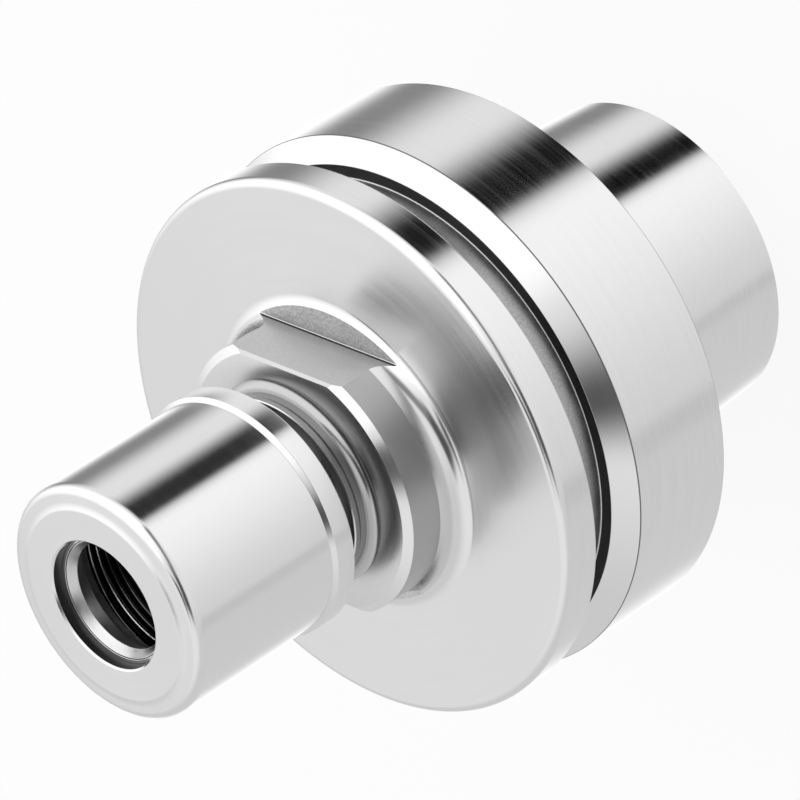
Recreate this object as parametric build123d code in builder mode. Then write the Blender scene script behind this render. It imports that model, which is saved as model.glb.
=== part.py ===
"""Slim collet chuck on a short hollow taper shank, with a smooth round clamping nut.

Millimetres. +Z runs along the axis from the shank end to the nose, the origin is the
centre of the shank's end face, and the wrench flats face +Y and -Y.
"""
from build123d import *
import os
from math import degrees, radians, tan

# Shank
shank_length = 25.0
gauge_diameter = 38.3
gauge_from_face = 5.0
taper_ratio = 10.0
shank_end_chamfer = 0.5
face_relief_width = 1.2
face_relief_depth = 0.35

# Hollow of the shank, from its mouth to its floor
mouth_diameter = 29.0
mouth_lead_in = 0.9
mouth_land = 6.4
recess_diameter = 32.0
recess_length = 7.5
clamp_shoulder_angle = 30.0
inner_diameter = 26.0
hollow_depth = 30.0
hollow_floor_radius = 1.2

# Flange with its gripper groove
flange_diameter = 63.0
flange_height = 25.0
flange_edge_break = 0.2
groove_wall_from_face = 15.05
groove_step_diameter = 57.6
groove_floor_diameter = 54.8
groove_floor_width = 3.1
groove_flank_angle = 30.0
disc_edge_radius = 1.0

# Collar with its two wrench flats
collar_diameter = 32.0
collar_length = 7.2
collar_root_radius = 2.5
collar_chamfer_depth = 1.0
collar_chamfer_angle = 31.0
flat_width = 27.8
flat_foot = 0.35
flat_chamfer = 0.4

# Neck, pilot land and threaded nose, with a relief groove where the thread runs out
neck_diameter = 21.8
neck_length = 1.95
neck_root_radius = 1.1
pilot_diameter = 22.4
pilot_length = 1.15
pilot_run_in = 0.5
pilot_edge_break = 0.15
nose_relief_diameter = 19.2
nose_relief_width = 2.15
nose_diameter = 20.3
nose_length = 10.5
nose_chamfer = 0.6

# Collet seat and the tapped bore behind it
seat_mouth_diameter = 14.8
seat_included_angle = 8.0
seat_length = 25.0
seat_lead_in = 0.3
screw_bore_diameter = 10.9

# Clamping nut
nut_standoff = 6.05
nut_length = 23.05
nut_diameter = 27.16
rear_band_diameter = 28.1
rear_band_length = 2.6
rear_band_chamfer = 0.25
rear_band_slope = 45.0
nut_edge_radius = 1.1
raised_face_diameter = 22.0
raised_face_height = 0.28
raised_edge_slope = 30.0
raised_edge_radius = 0.35
raised_cove_radius = 1.5
nut_shoulder_angle = 4.0
nut_mouth_diameter = 14.76
nut_mouth_depth = 1.45
nut_mouth_chamfer = 0.2
nut_web = 1.5
nut_cavity_length = 4.0
nut_thread_length = 10.0
nut_thread_entry = 0.5
nut_guide_entry = 0.4

# Slip ring and its round wire retaining ring
ring_spigot_diameter = 13.8
ring_flange_diameter = 18.9
ring_flange_thickness = 1.6
ring_lip_diameter = 12.3
ring_lip_from_front = 0.95
ring_front_land = 0.12
ring_seat_angle = 30.0
ring_edge_break = 0.1
wire_diameter = 0.8
wire_gap = 4.0

# Clearances, all on the radius or along the axis
pilot_clearance = 0.05
thread_clearance = 0.05
ring_clearance = 0.05
wire_clearance = 0.03

# How far a cut runs past the surface that it opens, and how closely an edge is matched
cut_overrun = 1.0
edge_match = 1e-4

# Heights along the axis that several pieces share
contact_height = shank_length
disc_height = contact_height + flange_height
collar_height = disc_height + collar_length
pilot_height = collar_height + neck_length
pilot_end = pilot_height + pilot_length
thread_start = pilot_end + nose_relief_width
nose_end = thread_start + nose_length
nut_rear = collar_height + nut_standoff
nut_front = nut_rear + nut_length
web_front = nut_front - nut_mouth_depth
web_rear = web_front - nut_web
cavity_rear = web_rear - nut_cavity_length
guide_end = cavity_rear - nut_thread_length
ring_flange_front = web_rear - ring_clearance
ring_rear = ring_flange_front - ring_flange_thickness
ring_front = web_front - ring_clearance
wire_height = ring_rear - ring_clearance - wire_diameter / 2
cavity_radius = ring_flange_diameter / 2 + ring_clearance
wire_centre_radius = cavity_radius - wire_clearance


def turn(*outline, mode=Mode.ADD):
    """Turns a closed outline of (radius, height) corners about the Z axis."""
    with BuildSketch(Plane.XZ) as section:
        with BuildLine():
            Polyline(*outline, close=True)
        make_face()
    revolve(section.sketch, axis=Axis.Z, mode=mode)


def rings_at(context, radius, height):
    """Picks the circular edges with this radius at this height."""
    def fits(edge):
        return abs(edge.radius - radius) < edge_match and abs(edge.arc_center.Z - height) < edge_match
    return context.edges().filter_by(GeomType.CIRCLE).filter_by(fits)


def shank_radius(height):
    """Outside radius of the tapered shank at a height."""
    gauge_height = contact_height - gauge_from_face
    return gauge_diameter / 2 + (height - gauge_height) / (2 * taper_ratio)


# Body: one turned piece from the shank's end to the threaded nose
with BuildPart() as chuck_body:
    relief_floor = contact_height + face_relief_depth
    relief_radius = shank_radius(relief_floor) + face_relief_width
    turn(
        (0, 0),
        (shank_radius(0), 0),
        (shank_radius(relief_floor), relief_floor),
        (relief_radius, relief_floor),
        (relief_radius + face_relief_depth, contact_height),
        (flange_diameter / 2, contact_height),
        (flange_diameter / 2, disc_height),
        (collar_diameter / 2, disc_height),
        (collar_diameter / 2, collar_height),
        (neck_diameter / 2, collar_height),
        (neck_diameter / 2, pilot_height),
        (pilot_diameter / 2, pilot_height + pilot_run_in),
        (pilot_diameter / 2, pilot_end),
        (nose_relief_diameter / 2, pilot_end),
        (nose_relief_diameter / 2, thread_start),
        (nose_diameter / 2, thread_start),
        (nose_diameter / 2, nose_end),
        (0, nose_end),
    )
    chamfer(rings_at(chuck_body, shank_radius(0), 0), shank_end_chamfer)
    chamfer(rings_at(chuck_body, flange_diameter / 2, contact_height), flange_edge_break)
    fillet(rings_at(chuck_body, flange_diameter / 2, disc_height), disc_edge_radius)
    fillet(rings_at(chuck_body, collar_diameter / 2, disc_height), collar_root_radius)
    fillet(rings_at(chuck_body, neck_diameter / 2, collar_height), neck_root_radius)
    chamfer(rings_at(chuck_body, pilot_diameter / 2, pilot_end), pilot_edge_break)
    chamfer(rings_at(chuck_body, nose_diameter / 2, nose_end), nose_chamfer)

    # Collar's front chamfer, wider across the face than along the axis
    collar_chamfer_height = collar_chamfer_depth * tan(radians(collar_chamfer_angle))
    turn(
        (collar_diameter / 2 - collar_chamfer_depth, collar_height),
        (collar_diameter / 2, collar_height - collar_chamfer_height),
        (collar_diameter / 2 + cut_overrun, collar_height - collar_chamfer_height),
        (collar_diameter / 2 + cut_overrun, collar_height),
        mode=Mode.SUBTRACT,
    )

    # Gripper groove: a step and a rear flank behind the floor, one long flank before it
    groove_wall = contact_height + groove_wall_from_face
    groove_floor_end = groove_wall + groove_floor_width
    flank_slope = tan(radians(groove_flank_angle))
    outer_radius = flange_diameter / 2 + cut_overrun
    turn(
        (groove_floor_diameter / 2, groove_wall),
        (groove_step_diameter / 2, groove_wall),
        (outer_radius, groove_wall - (outer_radius - groove_step_diameter / 2) * flank_slope),
        (outer_radius, groove_floor_end + (outer_radius - groove_floor_diameter / 2) * flank_slope),
        (groove_floor_diameter / 2, groove_floor_end),
        mode=Mode.SUBTRACT,
    )

    # Two wrench flats, each with a foot just above the disc and a chamfered front edge
    flat_height = disc_height + flat_foot
    flat_outside = flange_diameter / 2
    with BuildSketch(Plane.YZ):
        with BuildLine():
            Polyline(
                (flat_width / 2, flat_height),
                (flat_outside, flat_height),
                (flat_outside, collar_height),
                (flat_width / 2 - flat_chamfer, collar_height),
                (flat_width / 2, collar_height - flat_chamfer),
                close=True,
            )
        make_face()
        mirror(about=Plane.YZ)
    extrude(amount=flange_diameter / 2, both=True, mode=Mode.SUBTRACT)

    # Hollow of the shank with its lead-in, clamping shoulder and recess
    shoulder_height = (recess_diameter - mouth_diameter) / 2 * tan(radians(clamp_shoulder_angle))
    recess_start = mouth_land + shoulder_height
    recess_end = recess_start + recess_length
    inner_start = recess_end + (recess_diameter - inner_diameter) / 2
    turn(
        (0, 0),
        (mouth_diameter / 2, 0),
        (mouth_diameter / 2, mouth_land),
        (recess_diameter / 2, recess_start),
        (recess_diameter / 2, recess_end),
        (inner_diameter / 2, inner_start),
        (inner_diameter / 2, hollow_depth),
        (0, hollow_depth),
        mode=Mode.SUBTRACT,
    )
    chamfer(rings_at(chuck_body, mouth_diameter / 2, 0), mouth_lead_in)
    fillet(rings_at(chuck_body, inner_diameter / 2, hollow_depth), hollow_floor_radius)

    # Tapered collet seat, and the tapped bore that joins it to the hollow
    seat_floor = nose_end - seat_length
    seat_floor_radius = seat_mouth_diameter / 2 - seat_length * tan(radians(seat_included_angle / 2))
    turn(
        (0, seat_floor),
        (seat_floor_radius, seat_floor),
        (seat_mouth_diameter / 2, nose_end),
        (0, nose_end),
        mode=Mode.SUBTRACT,
    )
    chamfer(rings_at(chuck_body, seat_mouth_diameter / 2, nose_end), seat_lead_in)
    with BuildSketch(Plane.XY.offset(hollow_depth)):
        Circle(screw_bore_diameter / 2)
    extrude(amount=seat_floor - hollow_depth, mode=Mode.SUBTRACT)

# Clamping nut: a smooth barrel with a wider rear band and a low raised face with a soft edge
with BuildPart() as clamping_nut:
    band_front = nut_rear + rear_band_length
    barrel_start = band_front + (rear_band_diameter - nut_diameter) / 2 * tan(radians(rear_band_slope))
    step_height = nut_front - raised_face_height
    step_radius = raised_face_diameter / 2 + raised_face_height / tan(radians(raised_edge_slope))
    shoulder_rise = (nut_diameter / 2 - step_radius) * tan(radians(nut_shoulder_angle))
    turn(
        (0, nut_rear),
        (rear_band_diameter / 2, nut_rear),
        (rear_band_diameter / 2, band_front),
        (nut_diameter / 2, barrel_start),
        (nut_diameter / 2, step_height - shoulder_rise),
        (step_radius, step_height),
        (raised_face_diameter / 2, nut_front),
        (0, nut_front),
    )
    chamfer(rings_at(clamping_nut, rear_band_diameter / 2, nut_rear), rear_band_chamfer)
    fillet(rings_at(clamping_nut, nut_diameter / 2, step_height - shoulder_rise), nut_edge_radius)
    fillet(rings_at(clamping_nut, raised_face_diameter / 2, nut_front), raised_edge_radius)
    fillet(rings_at(clamping_nut, step_radius, step_height), raised_cove_radius)

    # Bores from the mouth back: mouth, web, slip ring cavity, thread, pilot guide
    guide_radius = pilot_diameter / 2 + pilot_clearance
    thread_radius = nose_diameter / 2 + thread_clearance
    web_radius = ring_spigot_diameter / 2 + ring_clearance
    turn(
        (0, nut_rear),
        (guide_radius, nut_rear),
        (guide_radius, guide_end),
        (thread_radius, guide_end),
        (thread_radius, cavity_rear),
        (cavity_radius, cavity_rear),
        (cavity_radius, web_rear),
        (web_radius, web_rear),
        (web_radius, web_front),
        (nut_mouth_diameter / 2, web_front),
        (nut_mouth_diameter / 2, nut_front),
        (0, nut_front),
        mode=Mode.SUBTRACT,
    )
    chamfer(rings_at(clamping_nut, guide_radius, nut_rear), nut_guide_entry)
    chamfer(rings_at(clamping_nut, thread_radius, guide_end), nut_thread_entry)
    chamfer(rings_at(clamping_nut, nut_mouth_diameter / 2, nut_front), nut_mouth_chamfer)

    # Round groove for the wire ring
    with BuildSketch(Plane.XZ):
        with Locations((wire_centre_radius, wire_height)):
            Circle(wire_diameter / 2 + wire_clearance)
    revolve(axis=Axis.Z, mode=Mode.SUBTRACT)

# Slip ring: flange behind the nut's web, spigot through it, lip that pulls the collet out
with BuildPart() as slip_ring:
    lip_height = ring_front - ring_lip_from_front
    spigot_bore_radius = ring_spigot_diameter / 2 - ring_front_land
    seat_rise = (lip_height - ring_rear) * tan(radians(ring_seat_angle))
    turn(
        (ring_lip_diameter / 2, lip_height),
        (ring_lip_diameter / 2 + seat_rise, ring_rear),
        (ring_flange_diameter / 2, ring_rear),
        (ring_flange_diameter / 2, ring_flange_front),
        (ring_spigot_diameter / 2, ring_flange_front),
        (ring_spigot_diameter / 2, ring_front),
        (spigot_bore_radius, ring_front),
    )
    chamfer(rings_at(slip_ring, ring_flange_diameter / 2, ring_rear), ring_edge_break)
    chamfer(rings_at(slip_ring, ring_flange_diameter / 2, ring_flange_front), ring_edge_break)

# Retaining ring: round spring wire, open at the gap that lets it be squeezed in
with BuildPart() as retaining_ring:
    gap_angle = degrees(wire_gap / wire_centre_radius)
    with BuildSketch(Plane.XZ):
        with Locations((wire_centre_radius, wire_height)):
            Circle(wire_diameter / 2)
    revolve(axis=Axis.Z, revolution_arc=360 - gap_angle)

chuck_body.part.label = "chuck_body"
clamping_nut.part.label = "clamping_nut"
slip_ring.part.label = "slip_ring"
retaining_ring.part.label = "retaining_ring"

os.makedirs("parts", exist_ok=True)
for piece in (chuck_body, clamping_nut, slip_ring, retaining_ring):
    export_step(piece.part, f"parts/{piece.part.label}.step")
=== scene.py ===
"""Looks for the slim collet chuck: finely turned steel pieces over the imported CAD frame.

Lengths are in millimetres and become metres where meshes are made. Only the materials, the
floor and the camera's clipping are in metres. Heights run along the axis from the shank's end.
An outline is a list of corners, each with its radius, height, rounding and the zone of the side
that starts there. A zone names a piece's metal.
"""
from collections import namedtuple
import math

import bpy
from mathutils import Matrix, Vector


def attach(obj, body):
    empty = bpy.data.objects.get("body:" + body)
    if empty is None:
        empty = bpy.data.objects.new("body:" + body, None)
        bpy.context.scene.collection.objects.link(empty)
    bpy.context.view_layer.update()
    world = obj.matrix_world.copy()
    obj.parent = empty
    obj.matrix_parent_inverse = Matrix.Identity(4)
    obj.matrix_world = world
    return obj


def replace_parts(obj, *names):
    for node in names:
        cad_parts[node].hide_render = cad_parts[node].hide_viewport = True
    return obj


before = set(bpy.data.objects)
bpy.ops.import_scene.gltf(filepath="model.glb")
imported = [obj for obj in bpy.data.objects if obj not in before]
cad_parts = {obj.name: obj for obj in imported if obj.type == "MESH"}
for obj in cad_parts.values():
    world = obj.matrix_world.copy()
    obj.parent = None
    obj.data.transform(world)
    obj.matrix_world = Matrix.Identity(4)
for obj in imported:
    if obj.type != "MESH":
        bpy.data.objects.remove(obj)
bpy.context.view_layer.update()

MM = 0.001
TURN = 2 * math.pi

# Segments of a ring: each round side of the collar and each of its two flats
ARC_STEPS = 80
FLAT_STEPS = 40
RING_SIZE = 2 * (ARC_STEPS + FLAT_STEPS)

# Degrees between the points of a rounding, and the steps of two roundings on the collar
ROUNDING_STEP = 9.0
ROOT_STEPS = 12
FOOT_STEPS = 6

# Lengths up to which a line is left out, two corners are one, and two levels are one
SHORTEST_LINE = 1e-6
SAME_CORNER = 1e-5
SAME_LEVEL = 1e-4

# Depth of the fold at the foot of the neck
FOLD = 1e-4

# The shank's radius at its gauge height, and the height that goes with 1 mm of radius
GAUGE_RADIUS = 19.15
GAUGE_HEIGHT = 20.0
TAPER = 20.0

# Sizes that several sides share
MOUTH_RADIUS = 14.5
MOUTH_LEAD_IN = 0.9
CONTACT_HEIGHT = 25.0
FLANGE_RADIUS = 31.5
DISC_HEIGHT = 50.0
DISC_ROUNDING = 1.0
COLLAR_RADIUS = 16.0
COLLAR_HEIGHT = 57.2
FLAT_HALF_WIDTH = 13.9
NECK_RADIUS = 10.9
NECK_ROUNDING = 1.1

# The azimuth at which a flat starts on the collar; round rings are split there too
EVEN_SPLIT = math.asin(FLAT_HALF_WIDTH / COLLAR_RADIUS)

# How slowly the two large roundings leave their cylinders; 1 would be a plain arc
ROOT_EASE = 1.5
NUT_EDGE_EASE = 1.25

# How far the normals of the groove's rear flank stand up from the radius
FLANK_TILT = math.radians(47.0)

# How far the collar's front face is dished, in its normals only
DISH_TILT = math.radians(12.0)

# Right-hand threads: the steps of a turn, and over how many a ridge grows at its ends
PITCH = 1.0
HELIX_STEPS = 72
RUN_IN_STEPS = HELIX_STEPS / 3
LEAST_GROWTH = 0.02

# A ridge's section: its widths, and the bevels beside its crest, which take a share of its
# depth and together widen it by so much
RIDGE_CORNERS = 6
ROOT_WIDTH = 0.78
CREST_WIDTH = 0.16
BEVEL_SHARE = 0.12
BEVEL_WIDTH = 0.18

# In turns: where from its upper end a crest is widest, how far the widening reaches to each
# side of that place, and how far the crest's lighter metal, a painted highlight, does
WIDEST_CREST_AT = 0.9
CREST_WIDENING_REACH = 0.75
CREST_HIGHLIGHT_REACH = 0.6


# Meshes

def profile(corners, closed=True):
    """Turns an outline into runs: zones with lists of (radius, height, n_r, n_z).

    The metal lies on the left of the direction of travel. A run is a straight line or the arc
    that rounds a corner, and an arc has the zone of the line before it.
    """
    count = len(corners)
    cuts = []
    for i, corner in enumerate(corners):
        here = Vector(corner[:2])
        rounding = corner[2]
        if rounding <= 0 or (not closed and i in (0, count - 1)):
            cuts.append((here, here, []))
            continue
        before = (Vector(corners[i - 1][:2]) - here).normalized()
        after = (Vector(corners[(i + 1) % count][:2]) - here).normalized()
        half = before.angle(after) / 2
        reach = rounding / math.tan(half)
        centre = here + (before + after).normalized() * (rounding / math.sin(half))
        start, end = here + before * reach, here + after * reach
        first, last = start - centre, end - centre
        sweep = math.atan2(first.x * last.y - first.y * last.x, first.dot(last))
        steps = max(2, math.ceil(abs(math.degrees(sweep)) / ROUNDING_STEP))
        side = 1 if sweep > 0 else -1
        arc = []
        for k in range(steps + 1):
            turn = Matrix.Rotation(sweep * k / steps, 2) @ first
            arc.append((centre.x + turn.x, centre.y + turn.y,
                        side * turn.x / rounding, side * turn.y / rounding))
        cuts.append((start, end, arc))
    runs = []
    for i in range(count if closed else count - 1):
        start, end = cuts[i][1], cuts[(i + 1) % count][0]
        along = end - start
        if along.length > SHORTEST_LINE:
            n = Vector((along.y, -along.x)).normalized()
            runs.append((corners[i][3], [(start.x, start.y, n.x, n.y), (end.x, end.y, n.x, n.y)]))
        arc = cuts[(i + 1) % count][2]
        if arc and (closed or i + 1 < count - 1):
            runs.append((corners[i][3], arc))
    return runs


def ring_points(radius, height, split, flat):
    """One ring of points. The flats' share of it starts at the azimuth split, and flat is the
    flats' distance from the axis there, or None where the ring is round."""
    points = []
    for half_turn in (0.0, math.pi):
        for i in range(ARC_STEPS):
            angle = half_turn - split + 2 * split * i / ARC_STEPS
            points.append((radius * math.cos(angle), radius * math.sin(angle), height))
        for i in range(FLAT_STEPS):
            share = i / FLAT_STEPS
            if flat is None:
                angle = half_turn + split + (math.pi - 2 * split) * share
                points.append((radius * math.cos(angle), radius * math.sin(angle), height))
            else:
                side = math.cos(half_turn)
                along = math.sqrt(radius ** 2 - flat ** 2) * (1 - 2 * share)
                points.append((side * along, side * flat, height))
    return points


def eased(n_r, n_z, power):
    """The normal of a rounding that leaves its cylinder more slowly than an arc does."""
    share = math.atan2(n_z, n_r) / (math.pi / 2)
    tilt = math.pi / 2 * max(share, 0.0) ** power
    return math.cos(tilt), math.sin(tilt)


class Turned:
    """Collects strips between rings, with exact normals, and makes one mesh of them."""

    def __init__(self, name, zones):
        self.name = name
        self.zones = zones
        self.vertices = []
        self.rings = {}
        self.faces = []
        self.normals = []
        self.face_zones = []

    def ring(self, radius, height, split=EVEN_SPLIT, flat=None):
        """The index of a ring's first point. A ring asked for again isn't made again."""
        key = (round(radius, 5), round(height, 5), round(split, 6), flat and round(flat, 5))
        if key not in self.rings:
            self.rings[key] = len(self.vertices)
            self.vertices.extend(ring_points(radius, height, split, flat))
        return self.rings[key]

    def strip(self, first, last, zone, n_first, n_last, flat_normals=None, flat_zone=None):
        """Joins two rings. Where they have flats, those take flat_normals and flat_zone."""
        half = RING_SIZE // 2
        for j in range(RING_SIZE):
            k = (j + 1) % RING_SIZE
            corners = (first + j, first + k, last + k, last + j)
            on_flat = flat_normals is not None and j % half >= ARC_STEPS
            normals = []
            for place, corner in enumerate(corners):
                if on_flat:
                    side = 1 if j < half else -1
                    n_y, n_up = flat_normals[place // 2]
                    normals.append((0.0, side * n_y, n_up))
                else:
                    n_r, n_z = n_first if place < 2 else n_last
                    x, y, _ = self.vertices[corner]
                    radius = math.hypot(x, y)
                    normals.append((n_r * x / radius, n_r * y / radius, n_z))
            self.faces.append(corners)
            self.normals.append(normals)
            self.face_zones.append(flat_zone if on_flat else zone)

    def run(self, zone, points, split=EVEN_SPLIT):
        for a, b in zip(points, points[1:]):
            self.strip(self.ring(*a[:2], split), self.ring(*b[:2], split), zone, a[2:], b[2:])

    def runs(self, runs):
        for zone, points in runs:
            self.run(zone, points)

    def build(self):
        return make_mesh(self.name, self.vertices, self.faces, self.normals,
                         self.face_zones, self.zones)


def link(name, data):
    made = bpy.data.objects.new(name, data)
    bpy.context.scene.collection.objects.link(made)
    return made


def in_metres(vertices):
    return [[c * MM for c in vertex] for vertex in vertices]


def make_mesh(name, vertices, faces, normals, face_zones, zones):
    """Makes a piece with custom normals. Corners of a face that coincide are dropped."""
    keep_faces, keep_normals, keep_zones = [], [], []
    for face, face_normals, zone in zip(faces, normals, face_zones):
        corners = []
        for corner, normal in zip(face, face_normals):
            place = vertices[corner]
            if all(math.dist(place, vertices[c]) > SAME_CORNER for c, _ in corners):
                corners.append((corner, normal))
        if len(corners) > 2:
            keep_faces.append([c for c, _ in corners])
            keep_normals.extend(n for _, n in corners)
            keep_zones.append(zone)
    mesh = bpy.data.meshes.new(name)
    mesh.from_pydata(in_metres(vertices), [], keep_faces)
    names = list(zones)
    for zone in names:
        mesh.materials.append(zones[zone])
    for polygon, zone in zip(mesh.polygons, keep_zones):
        polygon.material_index = names.index(zone)
        polygon.use_smooth = True
    mesh.normals_split_custom_set(keep_normals)
    mesh.update()
    return link(name, mesh)


def helical_ridge(name, metals, root, crest, low, high, phase):
    """A thread's ridge, swept along a right-hand helix from one height to another.

    root and crest are radii, and phase is the height at azimuth 0. metals are those of the
    ridge and, where there is a second one, of its uppermost crest, which is made wider and
    lighter as a painted highlight.
    """
    first = math.ceil((low - phase) / PITCH * HELIX_STEPS)
    last = math.floor((high - phase) / PITCH * HELIX_STEPS)
    vertices = []
    for i in range(first, last + 1):
        angle = TURN * i / HELIX_STEPS
        height = phase + PITCH * i / HELIX_STEPS
        grown = max(min(1.0, (i - first) / RUN_IN_STEPS, (last - i) / RUN_IN_STEPS), LEAST_GROWTH)
        widening = 0.0
        if len(metals) > 1:
            away = abs(last - i - WIDEST_CREST_AT * HELIX_STEPS)
            widening = max(0.0, 1.0 - away / (CREST_WIDENING_REACH * HELIX_STEPS))
        top = root + (crest - root) * grown
        bevel = top + (root - top) * BEVEL_SHARE
        narrow = ROOT_WIDTH + (CREST_WIDTH * (1.0 + widening) - ROOT_WIDTH) * grown
        wide = narrow + BEVEL_WIDTH * grown
        section = ((root, -ROOT_WIDTH / 2), (bevel, -wide / 2), (top, -narrow / 2),
                   (top, narrow / 2), (bevel, wide / 2), (root, ROOT_WIDTH / 2))
        for radius, offset in section:
            vertices.append((radius * math.cos(angle), radius * math.sin(angle), height + offset))
    steps = last - first
    outward = crest > root
    faces = []
    for i in range(steps):
        here = RIDGE_CORNERS * i
        there = here + RIDGE_CORNERS
        for a in range(RIDGE_CORNERS):
            b = (a + 1) % RIDGE_CORNERS
            quad = (here + a, there + a, there + b, here + b)
            faces.append(quad if outward else quad[::-1])
    start = tuple(range(RIDGE_CORNERS))
    end = tuple(RIDGE_CORNERS * steps + k for k in start)
    faces.extend((start[::-1], end) if outward else (start, end[::-1]))
    mesh = bpy.data.meshes.new(name)
    mesh.from_pydata(in_metres(vertices), [], faces)
    for metal in metals:
        mesh.materials.append(metal)
    # The uppermost crest and its bevels take the lighter metal, a painted highlight
    for i in range(steps):
        if abs(steps - i - WIDEST_CREST_AT * HELIX_STEPS) < CREST_HIGHLIGHT_REACH * HELIX_STEPS:
            # The crest and its two bevels
            for a in (1, 2, 3):
                mesh.polygons[RIDGE_CORNERS * i + a].material_index = len(metals) - 1
    mesh.update()
    return link(name, mesh)


# Node materials

# Where noise mostly lies: the span that ramps spread, and a narrower one for milled tone
NOISE_SPAN = (0.3, 0.7)
MILLED_SPAN = (0.35, 0.65)

# Turned steel: how strongly streaks change the tone, and how much more hairs change the gloss
STREAK_TONE = 0.2
HAIR_GLOSS = 12

# Milled steel: shares of fine and broad grain, spread of the gloss, and the tone of the
# painted shade in a corner
FINE_SHARE = 0.8
BROAD_SHARE = 0.2
MILLED_GLOSS = 0.08
CORNER_SHADE_TONE = 0.62


class Graph:
    """A short way to write node trees."""

    def __init__(self, tree):
        self.tree = tree
        tree.nodes.clear()

    def node(self, kind, settings=None, **inputs):
        made = self.tree.nodes.new(kind)
        for key, value in (settings or {}).items():
            setattr(made, key, value)
        for key, value in inputs.items():
            self.put(made.inputs[key.replace("_", " ")], value)
        return made

    def put(self, socket, value):
        if isinstance(value, bpy.types.NodeSocket):
            self.tree.links.new(value, socket)
        else:
            socket.default_value = value

    def put_all(self, sockets, values):
        for socket, value in zip(sockets, values):
            self.put(socket, value)

    def math(self, operation, *values):
        made = self.node("ShaderNodeMath", {"operation": operation})
        self.put_all(made.inputs, values)
        return made.outputs[0]

    def ramp(self, value, low, high, to_low=0.0, to_high=1.0, smooth=True):
        kind = "SMOOTHSTEP" if smooth else "LINEAR"
        made = self.node("ShaderNodeMapRange", {"interpolation_type": kind})
        self.put_all(made.inputs, (value, low, high, to_low, to_high))
        return made.outputs[0]

    def vary(self, value, span, middle, share):
        """Spreads noise evenly round a middle, by a share of it to each side."""
        return self.ramp(value, *span, middle * (1 - share), middle * (1 + share), smooth=False)

    def mix(self, share, first, second):
        made = self.node("ShaderNodeMix", {"data_type": "FLOAT"})
        self.put_all((made.inputs[0], made.inputs[2], made.inputs[3]), (share, first, second))
        return made.outputs[0]

    def grey(self, value):
        made = self.node("ShaderNodeCombineColor")
        for socket in made.inputs:
            self.put(socket, value)
        return made.outputs[0]

    def place(self):
        return self.node("ShaderNodeTexCoord").outputs["Object"]

    def around(self, along, across, detail=2.0):
        """Noise in rings about the axis. Its rate is along round them, and across per metre."""
        x, y, z = self.node("ShaderNodeSeparateXYZ", Vector=self.place()).outputs
        squares = [self.math("MULTIPLY", part, part) for part in (x, y)]
        radius = self.math("SQRT", self.math("ADD", *squares))
        unit_x, unit_y = [self.math("MULTIPLY", self.math("DIVIDE", part, radius), along)
                          for part in (x, y)]
        vector = self.node("ShaderNodeCombineXYZ", X=unit_x, Y=unit_y,
                           Z=self.math("MULTIPLY", z, across))
        noise = self.node("ShaderNodeTexNoise", {"noise_dimensions": "4D"},
                          Vector=vector.outputs[0], W=self.math("MULTIPLY", radius, across),
                          Scale=1.0, Detail=detail, Roughness=0.5)
        return noise.outputs["Fac"]

    def grain(self, rate):
        noise = self.node("ShaderNodeTexNoise", Vector=self.place(), Scale=rate, Detail=3.0)
        return noise.outputs["Fac"]


def new_graph(name):
    material = bpy.data.materials.new(name)
    material.use_nodes = True
    return material, Graph(material.node_tree)


def turned_steel(name, colour, roughness, anisotropy, line_rate=9000.0, line_depth=0.4e-6,
                 streaks=0.3, hairs=0.0):
    """Turned or ground steel: fine lines round the axis, streaks in its gloss and tone, and
    hairs in both where they are asked for."""
    material, g = new_graph(name)
    fine = g.around(1.0, line_rate)
    broad = g.around(1.5, line_rate / 6, detail=3.0)
    tone = g.ramp(broad, *NOISE_SPAN, colour * (1 - STREAK_TONE * streaks), colour, smooth=False)
    gloss = g.vary(broad, NOISE_SPAN, roughness, streaks)
    if hairs:
        hair = g.around(3.0, line_rate / 4, detail=1.0)
        tone = g.math("MULTIPLY", tone, g.vary(hair, NOISE_SPAN, 1, hairs))
        gloss = g.math("MULTIPLY", gloss, g.vary(hair, NOISE_SPAN, 1, HAIR_GLOSS * hairs))
    bump = g.node("ShaderNodeBump", Height=fine, Distance=line_depth, Strength=1.0)
    tangent = g.node("ShaderNodeTangent", {"direction_type": "RADIAL", "axis": "Z"})
    steel = g.node("ShaderNodeBsdfPrincipled", Metallic=1.0, Anisotropic=anisotropy,
                   Anisotropic_Rotation=0.25, Base_Color=g.grey(tone), Roughness=gloss,
                   Normal=bump.outputs[0], Tangent=tangent.outputs[0])
    g.node("ShaderNodeOutputMaterial", Surface=steel.outputs[0])
    return material


def matt_steel(name, colour, roughness, rate, depth, contrast, corner=None):
    """Milled steel with an even grain in its tone and height. corner gives the two heights
    between which the tone rises out of painted shade in the corner at the flats' foot."""
    material, g = new_graph(name)
    fine = g.grain(rate)
    broad = g.grain(rate / 20)
    spread = g.math("ADD", g.math("MULTIPLY", fine, FINE_SHARE),
                    g.math("MULTIPLY", broad, BROAD_SHARE))
    tone = g.vary(spread, MILLED_SPAN, colour, contrast)
    if corner:
        # Painted shade: the tone darkens towards the lower height
        height = g.node("ShaderNodeSeparateXYZ", Vector=g.place()).outputs[2]
        tone = g.math("MULTIPLY", tone, g.ramp(height, *corner, CORNER_SHADE_TONE, 1.0, smooth=False))
    bump = g.node("ShaderNodeBump", Height=fine, Distance=depth, Strength=1.0)
    gloss = g.ramp(broad, *NOISE_SPAN, roughness * (1 - MILLED_GLOSS),
                   roughness * (1 + MILLED_GLOSS))
    steel = g.node("ShaderNodeBsdfPrincipled", Metallic=1.0, Roughness=gloss,
                   Base_Color=g.grey(tone), Normal=bump.outputs[0])
    g.node("ShaderNodeOutputMaterial", Surface=steel.outputs[0])
    return material


GROUND = {"line_rate": 12000.0, "line_depth": 0.03e-6}
FINE = {"line_depth": 0.03e-6, "streaks": 0.04}

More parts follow.
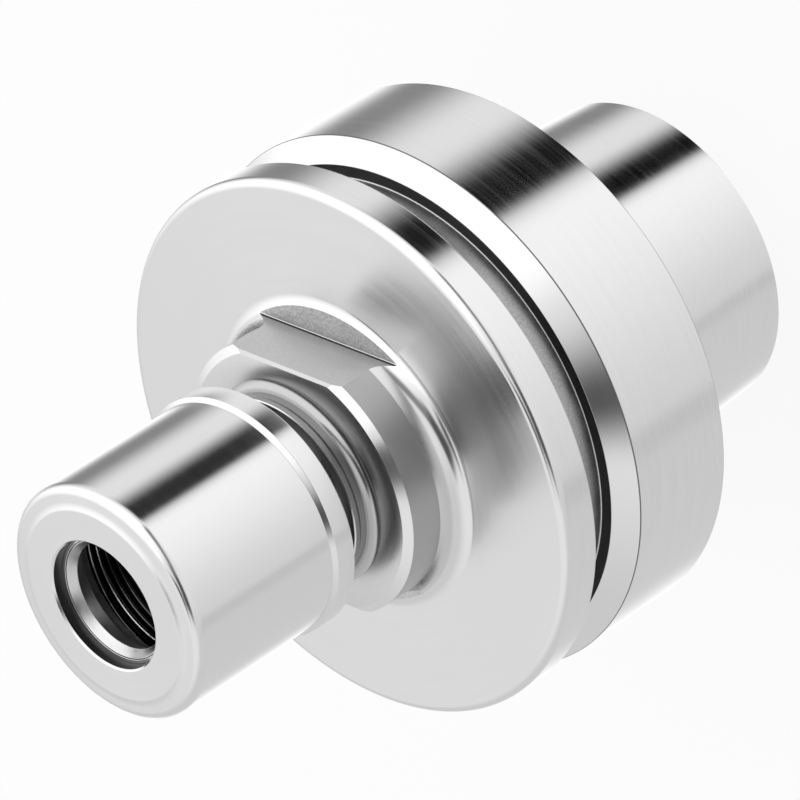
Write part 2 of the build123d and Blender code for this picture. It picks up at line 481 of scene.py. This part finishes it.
ground = turned_steel("ground_steel", 0.80, 0.15, 0.7, **GROUND, streaks=0.06, hairs=0.012)
barrel_metal = turned_steel("barrel_steel", 0.80, 0.15, 0.7, **GROUND, streaks=0.03, hairs=0.003)
faced = turned_steel("faced_steel", 0.81, 0.23, 0.8, line_depth=0.05e-6, streaks=0.08, hairs=0.004)
fine_turned = turned_steel("fine_turned_steel", 0.80, 0.16, 0.4, **GROUND, streaks=0.06)
nut_face = turned_steel("nut_face_steel", 0.80, 0.35, 0.3, line_depth=0.1e-6, streaks=0.08)
collar_metal = turned_steel("collar_steel", 0.48, 0.32, 0.5, line_depth=0.1e-6, streaks=0.1)
# Darker than the other turned steel: painted shade on the neck's foot rounding, under the nut
neck_metal = turned_steel("neck_steel_painted_shade", 0.52, 0.2, 0.4, **FINE)
# The flats' walls, darkened towards the ledges by painted shade
milled = matt_steel("milled_steel_painted_corner_shade", 0.56, 0.42, 6000.0, 3.0e-6, 0.06, corner=(0.0503, 0.0520))
ledge_metal = matt_steel("ledge_steel", 0.56, 0.42, 4500.0, 10.0e-6, 0.24)
groove_metal = matt_steel("groove_steel", 0.5, 0.36, 6500.0, 3.0e-6, 0.22)
# Painted shade: dark steel in the bores, the thread's floor and relief and the nut's rear face,
# and near black in the nut's mouth
inner_metal = turned_steel("inner_steel_painted_shade", 0.18, 0.3, 0.5)
bore_metal = turned_steel("mouth_bore_steel_painted_shade", 0.09, 0.4, 0.3)
cavity_metal = turned_steel("cavity_steel", 0.75, 0.42, 0.3)
flank_metal = turned_steel("groove_flank_steel", 0.75, 0.16, 0.4)
line_metal = turned_steel("edge_line_steel", 0.2, 0.3, 0.3)
cone_metal = turned_steel("ring_cone_steel", 0.8, 0.3, 0.3)
edge_metal = turned_steel("milled_edge_steel", 0.62, 0.25, 0.0, line_depth=0.2e-6)
# A little darker than the faced steel: painted shade on the collar's front face
collar_face = turned_steel("collar_face_steel_painted_shade", 0.7, 0.28, 0.3, **FINE)
# Near black: painted shade on the groove's rear wall and along the flats' foot
painted_shade_metal = turned_steel("painted_shade_steel", 0.045, 0.35, 0.3)
# Darker still: painted shade on the neck, its run-in and the pilot land
painted_neck_shade = turned_steel("neck_shade_steel", 0.3, 0.2, 0.4, **FINE)
# Dark thread: painted shade inside the nut
thread_metal = turned_steel("thread_steel_painted_shade", 0.12, 0.2, 0.0)
# Lighter crest: a painted highlight on the uppermost turn of the nut's thread
crest_highlight_metal = turned_steel("first_crest_painted_highlight_steel", 0.6, 0.25, 0.0)
wire_metal = turned_steel("drawn_wire_steel", 0.42, 0.3, 0.2)


# Body of the chuck

def shank_radius(height):
    """Outside radius of the tapered shank at a height."""
    return GAUGE_RADIUS + (height - GAUGE_HEIGHT) / TAPER


def add_shank_and_flange(body):
    """Adds the outer side, from the shank's end to the rim of the disc's front face."""
    slope = math.tan(math.radians(30.0))
    relief_width = 1.2
    relief_depth = 0.35
    relief = CONTACT_HEIGHT + relief_depth
    relief_radius = shank_radius(relief) + relief_width
    step_radius = 28.8
    floor_radius = 27.4
    wall = 40.05
    floor_end = 43.15
    rear_rim = wall - (FLANGE_RADIUS - step_radius) * slope
    front_rim = floor_end + (FLANGE_RADIUS - floor_radius) * slope
    outer = [
        (MOUTH_RADIUS + MOUTH_LEAD_IN, 0.0, 0, "fine"),
        (shank_radius(0) - 0.5, 0.0, 0.1, "fine"),
        (shank_radius(0.5), 0.5, 0.1, "ground"),
        (shank_radius(relief), relief, 0.15, "fine"),
        (relief_radius, relief, 0.1, "fine"),
        (relief_radius + relief_depth, CONTACT_HEIGHT, 0.05, "faced"),
        (FLANGE_RADIUS - 0.2, CONTACT_HEIGHT, 0.05, "line"),
        (FLANGE_RADIUS, CONTACT_HEIGHT + 0.2, 0.05, "ground"),
        # Gripper groove, with a dark line at its rear rim
        (FLANGE_RADIUS, rear_rim - 0.12, 0, "line"),
        (FLANGE_RADIUS, rear_rim, 0.12, "fine"),
        # The groove's rear wall takes the painted shade
        (step_radius, wall, 0.1, "shade"),
        (floor_radius + 0.1, wall, 0, "fine"),
        (floor_radius, wall, 0.08, "groove"),
        (floor_radius, floor_end, 0.2, "flank"),
        (FLANGE_RADIUS, front_rim, 0.25, "ground"),
        # Disc
        (FLANGE_RADIUS, DISC_HEIGHT, DISC_ROUNDING, "faced"),
        (FLANGE_RADIUS - DISC_ROUNDING, DISC_HEIGHT, 0, "faced"),
    ]
    for zone, points in profile(outer, closed=False):
        if zone == "fine" and rear_rim < points[0][1] < wall - 0.2:
            tilted = math.cos(FLANK_TILT), math.sin(FLANK_TILT)
            points = [point[:2] + tilted for point in points]
        body.run(zone, points)


# A ring with flats: its radius, the normal there, the flats' distance and their normal
Level = namedtuple("Level", "radius height normal flat flat_normal")


def add_disc_face_and_collar(body):
    """Adds the disc's front face, then the collar with its root fillet, flats, the ledges at
    their foot, and the front chamfer."""
    root = 2.5
    root_foot = COLLAR_RADIUS + root
    shoulder = DISC_HEIGHT + root
    foot = 50.35

    def root_point(height):
        """The fillet's radius and height, and its eased normal."""
        radius = root_foot - math.sqrt(root ** 2 - (shoulder - height) ** 2)
        n_r, n_z = (root_foot - radius) / root, (shoulder - height) / root
        return (radius, height) + eased(n_r, n_z, ROOT_EASE)

    fillet = []
    for i in range(ROOT_STEPS + 1):
        angle = math.pi / 2 * i / ROOT_STEPS
        n_r, n_z = math.sin(angle), math.cos(angle)
        fillet.append((root_foot - root * n_r, shoulder - root * n_z)
                      + eased(n_r, n_z, ROOT_EASE))

    # Below the ledges the rings are round, and split where the flats start at their foot
    foot_point = root_point(foot)
    foot_split = math.asin(FLAT_HALF_WIDTH / foot_point[0])
    body.run("fine", [p for p in fillet if p[1] < foot - SAME_LEVEL] + [foot_point], foot_split)
    body.strip(body.ring(FLANGE_RADIUS - DISC_ROUNDING, DISC_HEIGHT),
               body.ring(root_foot, DISC_HEIGHT, foot_split), "faced", (0, 1), (0, 1))

    def flat_ring(level):
        split = math.asin(level.flat / level.radius)
        return body.ring(level.radius, level.height, split, level.flat)

    def join(low, high, zone, flat_zone):
        body.strip(flat_ring(low), flat_ring(high), zone, low.normal, high.normal,
                   (low.flat_normal, high.flat_normal), flat_zone)

    # Ledges, and the small roundings that lead up from them to the flats
    corner = 0.22
    upward = (0.0, 1.0)
    sideways = (1.0, 0.0)
    last = Level(*foot_point[:2], foot_point[2:], FLAT_HALF_WIDTH + corner, upward)
    body.strip(body.ring(*foot_point[:2], foot_split), flat_ring(last), "fine",
               last.normal, last.normal, (upward, upward), "ledge")
    for i in range(1, FOOT_STEPS + 1):
        angle = math.pi / 2 * i / FOOT_STEPS
        point = root_point(foot + corner * (1 - math.cos(angle)))
        level = Level(*point[:2], point[2:], FLAT_HALF_WIDTH + corner * (1 - math.sin(angle)),
                      (math.sin(angle), math.cos(angle)))
        # The upper half of each rounding takes the painted shade, a dark line along the foot
        join(last, level, "fine", "fine" if i < FOOT_STEPS / 2 else "shade")
        last = level

    # Flats beside the fillet, the cylinder and the chamfer, with an edge break at their front
    chamfer_depth = 1.0
    chamfer_angle = math.radians(31.0)
    edge_break = 0.3
    rise = chamfer_depth * math.tan(chamfer_angle)
    cone_start = COLLAR_HEIGHT - rise
    cone = (math.sin(chamfer_angle), math.cos(chamfer_angle))
    edge = COLLAR_HEIGHT - edge_break
    edge_radius = COLLAR_RADIUS - chamfer_depth * (edge - cone_start) / rise
    slanting = (math.sqrt(0.5), math.sqrt(0.5))

    def level_at(radius, height, normal, flat_normal=sideways, cut=0.0):
        return Level(radius, height, normal, FLAT_HALF_WIDTH - cut, flat_normal)

    above = [level_at(*last[:3])]
    above += [level_at(*p[:2], p[2:]) for p in fillet if p[1] > last.height + SAME_LEVEL]
    for low, high in zip(above, above[1:]):
        join(low, high, "fine", "milled")
    join(level_at(COLLAR_RADIUS, shoulder, sideways),
         level_at(COLLAR_RADIUS, cone_start, sideways), "collar", "milled")
    join(level_at(COLLAR_RADIUS, cone_start, cone),
         level_at(edge_radius, edge, cone), "fine", "milled")
    face_rim = level_at(COLLAR_RADIUS - chamfer_depth, COLLAR_HEIGHT, cone, slanting, edge_break)
    join(level_at(edge_radius, edge, cone, slanting), face_rim, "fine", "edge")
    dish = (math.sin(DISH_TILT), math.cos(DISH_TILT))
    body.strip(flat_ring(face_rim), body.ring(NECK_RADIUS + NECK_ROUNDING, COLLAR_HEIGHT),
               "collar_face", dish, dish)


def add_neck_nose_and_bores(body):
    """Adds the neck, pilot and nose, then the bores back to the shank's mouth."""
    nose_end = 72.95
    seat_length = 25.0
    seat_slope = math.tan(math.radians(4.0))
    body.runs(profile([
        # The outline starts with a fold too small to see. Without it the collar's front face
        # and the neck render differently where they meet.
        (NECK_RADIUS + NECK_ROUNDING, COLLAR_HEIGHT, 0, "neck"),
        (NECK_RADIUS + NECK_ROUNDING - FOLD, COLLAR_HEIGHT, 0, "neck"),
        (NECK_RADIUS, COLLAR_HEIGHT, NECK_ROUNDING, "painted_neck_shade"),
        (NECK_RADIUS, 59.15, 0.03, "painted_neck_shade"),
        # Pilot and thread relief
        (11.2, 59.65, 0.05, "painted_neck_shade"),
        (11.2, 60.15, 0.12, "fine"),
        (11.05, 60.30, 0.03, "fine"),
        (9.6, 60.30, 0.15, "inner"),
        (9.6, 62.45, 0.15, "inner"),
        # Floor of the thread, and the nose's end
        (9.86, 62.45, 0.02, "inner"),
        (9.86, nose_end - 0.3, 0.05, "inner"),
        (9.55, nose_end, 0.05, "inner"),
        # Collet seat and the bore behind it
        (7.7, nose_end, 0.05, "inner"),
        (7.4 - 0.3 * seat_slope, nose_end - 0.3, 0.05, "inner"),
        (7.4 - seat_length * seat_slope, nose_end - seat_length, 0.02, "inner"),
        (5.45, nose_end - seat_length, 0.02, "inner"),
        (5.45, 30.0, 0.1, "fine"),
        # Hollow of the shank
        (13.0, 30.0, 1.2, "fine"),
        (13.0, 17.77, 0.3, "fine"),
        (16.0, 14.77, 0.3, "fine"),
        (16.0, 7.27, 0.3, "fine"),
        (MOUTH_RADIUS, 6.4, 0.1, "fine"),
        (MOUTH_RADIUS, MOUTH_LEAD_IN, 0.1, "fine"),
        (MOUTH_RADIUS + MOUTH_LEAD_IN, 0.0, 0, "fine"),
    ], closed=False))


def build_body():
    body = Turned("turned_body", {
        "ground": ground, "faced": faced, "fine": fine_turned, "collar": collar_metal,
        "neck": neck_metal, "milled": milled, "ledge": ledge_metal, "edge": edge_metal,
        "shade": painted_shade_metal, "painted_neck_shade": painted_neck_shade, "collar_face": collar_face,
        "groove": groove_metal, "flank": flank_metal, "line": line_metal, "inner": inner_metal,
    })
    add_shank_and_flange(body)
    add_disc_face_and_collar(body)
    add_neck_nose_and_bores(body)
    return body.build()


# The nut and the two rings inside it

def build_nut():
    nut = Turned("turned_nut", {
        "ground": barrel_metal, "face": nut_face, "fine": fine_turned, "inner": inner_metal,
        "bore": bore_metal, "cavity": cavity_metal,
    })
    barrel = 13.58
    front = 86.3
    rise = 0.28
    step = front - rise
    foot = 11.0 + rise / math.tan(math.radians(30.0))
    shoulder = step - (barrel - foot) * math.tan(math.radians(4.0))
    corners = [
        # Rear band
        (11.65, 63.25, 0.04, "inner"),
        (13.8, 63.25, 0.08, "fine"),
        (14.05, 63.5, 0.12, "ground"),
        (14.05, 65.85, 0.12, "fine"),
        # Barrel, front rounding and raised face
        (barrel, 66.32, 0.1, "ground"),
        (barrel, shoulder, 1.1, "face"),
        (foot, step, 1.5, "face"),
        (11.0, front, 0.35, "face"),
        # Mouth and web
        (7.58, front, 0.05, "fine"),
        (7.38, front - 0.2, 0.05, "bore"),
        (7.38, 84.85, 0.08, "fine"),
        (6.95, 84.85, 0.05, "inner"),
        (6.95, 83.35, 0.05, "cavity"),
        # Chamber of the two rings, then the thread's floor and the guide behind it
        (9.5, 83.35, 0.1, "cavity"),
        (9.5, 79.35, 0.1, "inner"),
        (10.48, 79.35, 0.05, "inner"),
        (10.48, 69.35, 0.1, "inner"),
        (11.25, 69.35, 0.1, "inner"),
        (11.25, 63.65, 0.05, "inner"),
    ]
    for zone, points in profile(corners):
        # The barrel's front rounding is its only arc so far forward
        if zone == "ground" and len(points) > 2 and points[0][1] > 80.0:
            points = [(r, z) + eased(n_r, n_z, NUT_EDGE_EASE) for r, z, n_r, n_z in points]
        nut.run(zone, points)
    return nut.build()


def build_slip_ring():
    zones = {"fine": fine_turned, "cone": cone_metal, "cavity": cavity_metal}
    ring = Turned("turned_slip_ring", zones)
    lip = 6.15
    slope = math.tan(math.radians(30.0))
    ring.runs(profile([
        (lip + 2.15 * slope, 81.70, 0.05, "fine"),
        (9.35, 81.70, 0.02, "fine"),
        (9.45, 81.80, 0.02, "fine"),
        (9.45, 83.20, 0.02, "fine"),
        (9.35, 83.30, 0.02, "fine"),
        (6.90, 83.30, 0.03, "fine"),
        (6.90, 84.80, 0.04, "fine"),
        (6.78, 84.80, 0.03, "cone"),
        (lip, 83.85, 0.05, "cavity"),
    ]))
    return ring.build()


def build_wire_ring():
    """Round spring wire, open over a small gap."""
    centre, height, radius, gap = 9.47, 81.25, 0.4, 4.0
    sweep = TURN - gap / centre
    around, section = 120, 16
    vertices, faces, normals = [], [], []
    for i in range(around + 1):
        angle = sweep * i / around
        for k in range(section):
            tilt = TURN * k / section
            r = centre + radius * math.cos(tilt)
            vertices.append((r * math.cos(angle), r * math.sin(angle),
                             height + radius * math.sin(tilt)))
    for i in range(around):
        for k in range(section):
            m = (k + 1) % section
            places = ((i, k), (i + 1, k), (i + 1, m), (i, m))
            faces.append(tuple(a * section + b for a, b in places))
            turns = [(sweep * a / around, TURN * b / section) for a, b in places]
            normals.append([(math.cos(t) * math.cos(a), math.cos(t) * math.sin(a), math.sin(t))
                            for a, t in turns])
    start = tuple(range(section))
    end = tuple(around * section + k for k in start)
    faces.extend((start, end[::-1]))
    normals.append([(0.0, -1.0, 0.0)] * section)
    normals.append([(-math.sin(sweep), math.cos(sweep), 0.0)] * section)
    zones = ["wire"] * len(faces)
    return make_mesh("drawn_wire_ring", vertices, faces, normals, zones, {"wire": wire_metal})


body_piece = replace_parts(build_body(), "chuck_body")
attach(body_piece, "holder")
nut_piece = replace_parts(build_nut(), "clamping_nut")
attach(nut_piece, "nut")
slip_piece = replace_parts(build_slip_ring(), "slip_ring")
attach(slip_piece, "bearing")
wire_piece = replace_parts(build_wire_ring(), "retaining_ring")
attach(wire_piece, "nut")

# A crest of the nut's thread passes this height at this azimuth, in degrees. The nose's
# thread runs half a pitch from it.
CREST_HEIGHT = 78.31
CREST_AZIMUTH = 129.0
nut_phase = CREST_HEIGHT - PITCH * CREST_AZIMUTH / 360.0
nut_thread = helical_ridge("nut_thread", (thread_metal, crest_highlight_metal), root=10.5, crest=9.94,
                           low=69.9, high=78.85, phase=nut_phase)
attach(nut_thread, "nut")
nose_thread = helical_ridge("nose_thread", (thread_metal,), root=9.84, crest=10.40,
                            low=62.95, high=72.6, phase=nut_phase + PITCH / 2)
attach(nose_thread, "holder")


# Camera, floor and light

# The camera was fitted to turned edges in the photo
CAMERA_PLACE = (454.94, 370.20, 469.77)
CAMERA_RIGHT = (0.726055, -0.106135, -0.679397)
CAMERA_UP = (-0.282270, 0.854936, -0.435211)
CAMERA_BACK = (0.627032, 0.507760, 0.590772)
CAMERA_LENS = 306.67

# The floor's half width in metres, its tone, and how much of it the camera sees as white
FLOOR_HALF_WIDTH = 3.0
FLOOR_TONE = 0.9
FLOOR_WHITE = 0.88

STUDIO_LEVEL = 0.93


def make_camera():
    data = bpy.data.cameras.new("camera")
    data.sensor_width = 36.0
    data.lens = CAMERA_LENS
    data.clip_start = 0.05
    camera = link("camera", data)
    turn = Matrix((CAMERA_RIGHT, CAMERA_UP, CAMERA_BACK)).transposed()
    camera.matrix_world = Matrix.Translation(Vector(CAMERA_PLACE) * MM) @ turn.to_4x4()
    bpy.context.scene.camera = camera


def make_floor():
    """Paper that looks nearly white to the camera and keeps a faint shadow."""
    material, g = new_graph("floor_paper")
    paper = g.node("ShaderNodeBsdfDiffuse", Color=(FLOOR_TONE, FLOOR_TONE, FLOOR_TONE, 1.0))
    white = g.node("ShaderNodeEmission", Strength=1.0)
    camera_ray = g.node("ShaderNodeLightPath").outputs["Is Camera Ray"]
    blend = g.node("ShaderNodeMixShader", Fac=g.math("MULTIPLY", camera_ray, FLOOR_WHITE))
    g.put_all(blend.inputs[1:], (paper.outputs[0], white.outputs[0]))
    g.node("ShaderNodeOutputMaterial", Surface=blend.outputs[0])
    half = FLOOR_HALF_WIDTH
    mesh = bpy.data.meshes.new("floor")
    mesh.from_pydata([(-half, -half, 0), (half, -half, 0), (half, half, 0), (-half, half, 0)],
                     [], [(0, 1, 2, 3)])
    mesh.materials.append(material)
    floor = link("floor", mesh)
    floor.visible_glossy = False


def make_world():
    """A white studio with cards and lamps, given by direction. Azimuths are from +X towards +Y.

    A card has its centre azimuth, the four edges of its soft window round that azimuth, the
    four edges of its window in elevation, and its level. A card may also lean, by the degrees
    that it falls for each degree of azimuth.
    """
    world = bpy.data.worlds.new("studio")
    bpy.context.scene.world = world
    world.use_nodes = True
    g = Graph(world.node_tree)
    direction = g.node("ShaderNodeTexCoord").outputs["Generated"]
    x, y, z = g.node("ShaderNodeSeparateXYZ", Vector=direction).outputs
    elevation = g.math("DEGREES", g.math("ARCSINE", z))

    def azimuth(centre):
        """Degrees of azimuth from a centre."""
        c, s = math.cos(math.radians(centre)), math.sin(math.radians(centre))
        ahead = g.math("ADD", g.math("MULTIPLY", x, c), g.math("MULTIPLY", y, s))
        aside = g.math("SUBTRACT", g.math("MULTIPLY", y, c), g.math("MULTIPLY", x, s))
        return g.math("DEGREES", g.math("ARCTAN2", aside, ahead))

    def window(value, start, full_start, full_end, end):
        return g.math("MULTIPLY", g.ramp(value, start, full_start),
                      g.ramp(value, full_end, end, 1.0, 0.0))

    # Edges of a window that is open downwards or upwards
    below, above = (-100.0, -99.0), (99.0, 100.0)
    cards = {
        "grey_side":
            (-90.0, (-110.0, -60.0, 60.0, 110.0), below + (15.0, 50.0), 0.72),
        "seam_in_front":
            (-23.0, (-10.0, -2.0, 2.0, 6.0), below + (-25.0, -8.0), 0.65),
        "low_card_in_front":
            (25.0, (-43.0, -36.0, 60.0, 62.0), below + (-25.0, -8.0), 0.78),
        "low_lamp_in_front":
            (60.0, (-82.0, 15.0, 14.0, 24.0), below + (-25.0, -8.0), 1.14),
        "low_lamp_behind":
            (212.0, (-42.0, -9.0, 14.0, 50.0), below + (-28.0, -14.0), 1.2),
        "grey_card":
            (168.0, (-34.0, -2.0, 6.0, 30.0), below + (-24.0, -6.0), 0.28),
        "black_card":
            (92.0, (-12.0, -4.5, 9.0, 31.0), below + (-32.0, -12.0), 0.0),
        "high_lamp":
            (120.0, (-84.0, -50.0, 50.0, 100.0), (-12.0, 8.0) + above, 1.3),
        "dark_above_camera":
            (9.0, (-44.0, -18.0, 18.0, 38.0), (22.0, 31.0, 50.0, 65.0), 0.08, 0.3),
        "dark_overhead":
            (325.0, (-56.0, -32.0, 32.0, 58.0), (62.0, 72.0, 80.0, 90.0), 0.1),
        "slanting_card":
            (52.0, (-32.0, -18.0, 20.0, 27.0), (-6.0, 3.0, 16.0, 32.0), 0.25, 0.85),
    }
    level = STUDIO_LEVEL
    for centre, spread, rise, value, *lean in cards.values():
        across = azimuth(centre)
        upward = elevation
        if lean:
            upward = g.math("ADD", elevation, g.math("MULTIPLY", across, lean[0]))
        share = g.math("MULTIPLY", window(across, *spread), window(upward, *rise))
        level = g.mix(share, level, value)

    # The camera itself sees plain white
    studio = g.node("ShaderNodeBackground", Color=g.grey(level), Strength=1.0)
    white = g.node("ShaderNodeBackground", Color=(1.0, 1.0, 1.0, 1.0), Strength=1.0)
    camera_ray = g.node("ShaderNodeLightPath").outputs["Is Camera Ray"]
    blend = g.node("ShaderNodeMixShader", Fac=camera_ray)
    g.put_all(blend.inputs[1:], (studio.outputs[0], white.outputs[0]))
    g.node("ShaderNodeOutputWorld", Surface=blend.outputs[0])


make_camera()
make_floor()
make_world()
bpy.context.scene.view_settings.view_transform = "Standard"
